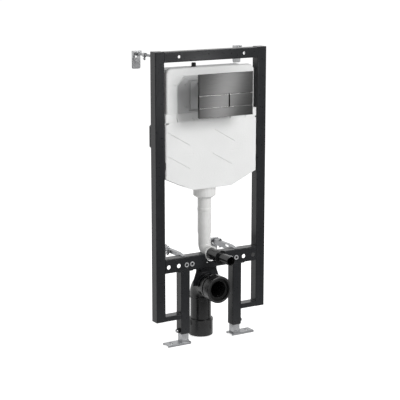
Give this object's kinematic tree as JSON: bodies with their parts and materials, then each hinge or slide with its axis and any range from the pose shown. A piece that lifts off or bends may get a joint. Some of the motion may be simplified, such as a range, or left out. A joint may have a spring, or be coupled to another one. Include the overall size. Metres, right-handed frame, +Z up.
{
  "type": "wall hung toilet frame",
  "caption": "Upright steel frame with sliding feet that carries a wall hung toilet, with concealed cistern, flush plate, flush pipe and waste bend.",
  "frame": {"origin": "centre of the wall face of the upper left wall plate", "axes": "+X to the right seen from the room, +Y towards the wall, +Z up"},
  "size_m": [0.5, 0.329, 1.159],
  "materials": {
    "frame_paint": "dark grey powder coat, satin",
    "zinc": "bright zinc plated steel",
    "black_plastic": "black moulded plastic",
    "waste_pipe": "black polyethylene, slightly waxy",
    "seal_rubber": "black sealing rubber",
    "foam": "white expanded bead foam",
    "tank_plastic": "grey moulded plastic",
    "white_plastic": "white plastic pipe",
    "plate_metal": "dark gunmetal, brushed"
  },
  "bodies": {
    "frame": {"left_post": "frame_paint", "right_post": "frame_paint", "top_rail": "frame_paint", "cross_rail": "frame_paint", "left_leg": "frame_paint", "right_leg": "frame_paint", "leg_saddles": "frame_paint", "bottom_bars": "frame_paint", "waste_bracket": "frame_paint", "tank_straps": "frame_paint", "left_upper_wall_plate": "zinc", "right_upper_wall_plate": "zinc", "lower_wall_plates": "zinc", "struts": "zinc", "strut_bolts": "zinc", "wall_rods": "zinc", "rod_nuts": "zinc", "rod_hooks": "zinc", "lock_bolts": "zinc", "stud_inserts": "zinc", "fixing_rods": "zinc", "bend_clip": "zinc", "post_caps": "black_plastic", "leg_guides": "black_plastic", "lock_washers": "black_plastic", "tank_plug": "black_plastic", "flush_sleeve": "black_plastic", "plate_carrier": "black_plastic", "waste_bend": "waste_pipe", "waste_inlet": "waste_pipe", "waste_ring": "waste_pipe", "floor_socket": "waste_pipe", "inlet_seal": "seal_rubber", "lower_shell": "foam", "upper_shell": "foam", "tank": "tank_plastic", "service_frame": "tank_plastic", "valve_housing": "tank_plastic", "outlet_nut": "white_plastic", "flush_pipe": "white_plastic", "flush_bend": "white_plastic", "plate_panels": "plate_metal"},
    "left_foot": {"left_foot_tube": "zinc", "left_foot_plate": "zinc"},
    "right_foot": {"right_foot_tube": "zinc", "right_foot_plate": "zinc"},
    "full_flush": {"full_flush_button": "plate_metal", "full_flush_rod": "white_plastic"},
    "half_flush": {"half_flush_button": "plate_metal", "half_flush_rod": "white_plastic"}
  },
  "joints": [
    {"name": "left_foot_slide", "type": "slide", "parent": "frame", "child": "left_foot", "axis": [0, 0, -1], "range_m": [-0.02, 0.15]},
    {"name": "right_foot_slide", "type": "slide", "parent": "frame", "child": "right_foot", "axis": [0, 0, -1], "range_m": [-0.02, 0.15]},
    {"name": "full_flush_press", "type": "slide", "parent": "frame", "child": "full_flush", "axis": [0, 1, 0], "range_m": [0, 0.004], "stiffness_N_per_m": 800, "springref_m": -0.004},
    {"name": "half_flush_press", "type": "slide", "parent": "frame", "child": "half_flush", "axis": [0, 1, 0], "range_m": [0, 0.004], "stiffness_N_per_m": 800, "springref_m": -0.004}
  ]
}
